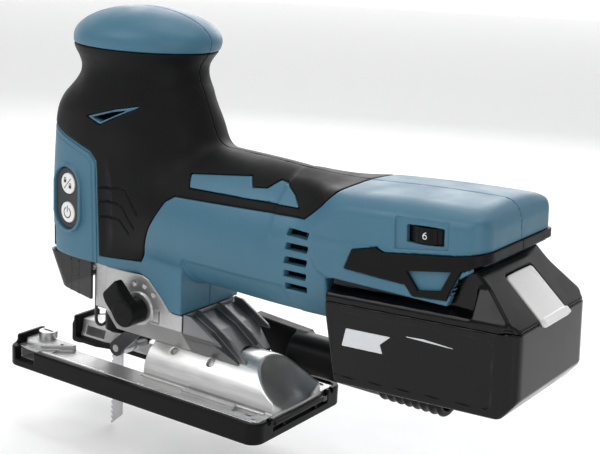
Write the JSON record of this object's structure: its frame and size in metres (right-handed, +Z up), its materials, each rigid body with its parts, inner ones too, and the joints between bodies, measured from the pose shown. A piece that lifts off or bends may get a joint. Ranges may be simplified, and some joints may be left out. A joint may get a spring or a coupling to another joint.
{
  "type": "cordless jigsaw",
  "caption": "Barrel-grip battery jigsaw with a tilting slotted base, orbital selector, blade guard cover, dust nozzle and slide-off battery.",
  "frame": {"origin": "where the plunger's axis meets the sole plane of the base", "axes": "+X from the blade back to the battery, +Y to the tool's right side, +Z up"},
  "size_m": [0.2984, 0.077, 0.2335],
  "materials": {
    "teal_shell": "fine texture",
    "black_grip": "matte",
    "white_plastic": "smooth",
    "black_plastic": "fine texture",
    "dark_metal": "semi matte",
    "steel": "ground",
    "dark_steel": "oxidised",
    "bronze": "sintered",
    "copper": "enamelled wire",
    "iron_stack": "laminated",
    "smoke_clear": "smoked",
    "lens": "clear",
    "board": "resin",
    "cell_wrap": "shrink film",
    "zinc": "plated",
    "aluminium_cast": "cast"
  },
  "bodies": {
    "housing": {"housing_left": "teal_shell", "housing_right": "teal_shell", "grip_cover_left": "black_grip", "grip_cover_right": "black_grip", "accent_trims_left": "teal_shell", "accent_trims_right": "teal_shell", "nose_panel": "teal_shell", "switch_pad_left": "black_grip", "switch_pad_right": "black_grip", "gear_housing": "aluminium_cast", "rear_bracket": "dark_metal", "lower_bush": "bronze", "upper_bush": "bronze", "front_bearing": "steel", "rear_bearing": "steel", "bearing_holder": "black_plastic", "stator": "iron_stack", "stator_coils": "copper", "finger_guard": "zinc", "lamp": "lens", "fork_pin": "steel", "rubber_band": "black_plastic", "controller_board": "board", "terminal_block": "black_plastic", "housing_screws": "dark_steel"},
    "plunger": {"plunger_rod": "steel", "plunger_yoke": "dark_steel", "blade_clamp": "dark_steel", "blade": "dark_steel"},
    "clamp_ring": {"clamp_sleeve": "black_plastic"},
    "balance": {"counterweight": "dark_steel"},
    "rotor": {"rotor_shaft": "steel", "rotor": "iron_stack", "fan": "black_plastic"},
    "crank": {"crank_gear": "dark_steel", "gear_shaft": "steel"},
    "orbital_selector": {"orbital_lever": "black_plastic", "orbital_shaft": "steel"},
    "fork": {"roller_fork": "dark_metal", "roller_pin": "steel"},
    "roller": {"guide_roller": "zinc"},
    "cover": {"dust_cover": "smoke_clear"},
    "bevel_clamp": {"base_clamp_plate": "dark_steel", "base_bolt": "dark_steel"},
    "base": {"base_plate": "aluminium_cast", "shoe_cover": "black_plastic"},
    "guide_lock": {"guide_screw": "dark_steel"},
    "nozzle": {"dust_nozzle": "black_plastic"},
    "wrench": {"hex_wrench": "dark_steel"},
    "battery": {"battery_lower_case": "black_plastic", "battery_upper_case": "black_plastic", "cells": "cell_wrap", "battery_contacts": "copper", "release_spring": "steel"},
    "release": {"release_button": "white_plastic"},
    "power_left": {"power_button_left": "white_plastic"},
    "power_right": {"power_button_right": "white_plastic"},
    "lock_left": {"lock_button_left": "white_plastic"},
    "lock_right": {"lock_button_right": "white_plastic"},
    "dial": {"speed_dial": "black_plastic"}
  },
  "joints": [
    {"name": "plunger_stroke", "type": "slide", "parent": "housing", "child": "plunger", "axis": [0, 0, 1], "range_m": [0, 0.026]},
    {"name": "clamp_release", "type": "hinge", "parent": "plunger", "child": "clamp_ring", "pos_m": [0, 0, 0.027], "axis": [0, 0, 1], "range_deg": [0, 60], "stiffness_Nm_per_rad": 0.05},
    {"name": "balance_stroke", "type": "slide", "parent": "housing", "child": "balance", "axis": [0, 0, 1], "range_m": [-0.026, 0]},
    {"name": "rotor_spin", "type": "hinge", "parent": "housing", "child": "rotor", "pos_m": [0.08, 0, 0.1018], "axis": [1, 0, 0], "continuous": true},
    {"name": "crank_spin", "type": "hinge", "parent": "housing", "child": "crank", "pos_m": [0.023, 0, 0.085], "axis": [1, 0, 0], "continuous": true},
    {"name": "orbital_select", "type": "hinge", "parent": "housing", "child": "orbital_selector", "pos_m": [0.0325, -0.03, 0.046], "axis": [0, 1, 0], "range_deg": [0, 90]},
    {"name": "fork_swing", "type": "hinge", "parent": "housing", "child": "fork", "pos_m": [0.024, 0, 0.033], "axis": [0, 1, 0], "range_deg": [-4, 0], "stiffness_Nm_per_rad": 0.6},
    {"name": "roller_spin", "type": "hinge", "parent": "fork", "child": "roller", "pos_m": [0.0069, 0, 0.015], "axis": [0, 1, 0], "continuous": true},
    {"name": "cover_slide", "type": "slide", "parent": "housing", "child": "cover", "axis": [0, 0, -1], "range_m": [0, 0.018]},
    {"name": "bevel_tilt", "type": "hinge", "parent": "housing", "child": "bevel_clamp", "pos_m": [0.068, 0, 0.011], "axis": [1, 0, 0], "range_deg": [-45, 0]},
    {"name": "base_shift", "type": "slide", "parent": "bevel_clamp", "child": "base", "axis": [1, 0, 0], "range_m": [0, 0.014]},
    {"name": "guide_screw_turn", "type": "hinge", "parent": "base", "child": "guide_lock", "pos_m": [-0.0365, -0.0185, 0.0145], "axis": [0, 0, 1], "range_deg": [0, 350]},
    {"name": "nozzle_pull", "type": "slide", "parent": "base", "child": "nozzle", "axis": [1, 0, 0], "range_m": [0, 0.06]},
    {"name": "wrench_pull", "type": "slide", "parent": "base", "child": "wrench", "axis": [1, 0, 0], "range_m": [0, 0.05]},
    {"name": "battery_pull", "type": "slide", "parent": "housing", "child": "battery", "axis": [0.9984, 0, 0.0558], "range_m": [0, 0.06]},
    {"name": "release_press", "type": "slide", "parent": "battery", "child": "release", "axis": [-0.656, 0, -0.7548], "range_m": [0, 0.0006], "stiffness_N_per_m": 1500},
    {"name": "power_press_left", "type": "slide", "parent": "housing", "child": "power_left", "axis": [0.1478, 0.989, 0], "range_m": [0, 0.0008], "stiffness_N_per_m": 900},
    {"name": "lock_press_left", "type": "slide", "parent": "housing", "child": "lock_left", "axis": [0.1478, 0.989, 0], "range_m": [0, 0.0008], "stiffness_N_per_m": 900},
    {"name": "power_press_right", "type": "slide", "parent": "housing", "child": "power_right", "axis": [0.1478, -0.989, 0], "range_m": [0, 0.0008], "stiffness_N_per_m": 900},
    {"name": "lock_press_right", "type": "slide", "parent": "housing", "child": "lock_right", "axis": [0.1478, -0.989, 0], "range_m": [0, 0.0008], "stiffness_N_per_m": 900},
    {"name": "speed_turn", "type": "hinge", "parent": "housing", "child": "dial", "pos_m": [0.20072, -0.0234, 0.12015], "axis": [-0.0558, 0, 0.9984], "range_deg": [-250, 0]}
  ],
  "couplings": [
    {"joint": "balance_stroke", "follows": "plunger_stroke", "ratio": -1},
    {"joint": "rotor_spin", "follows": "crank_spin", "ratio": -5}
  ]
}
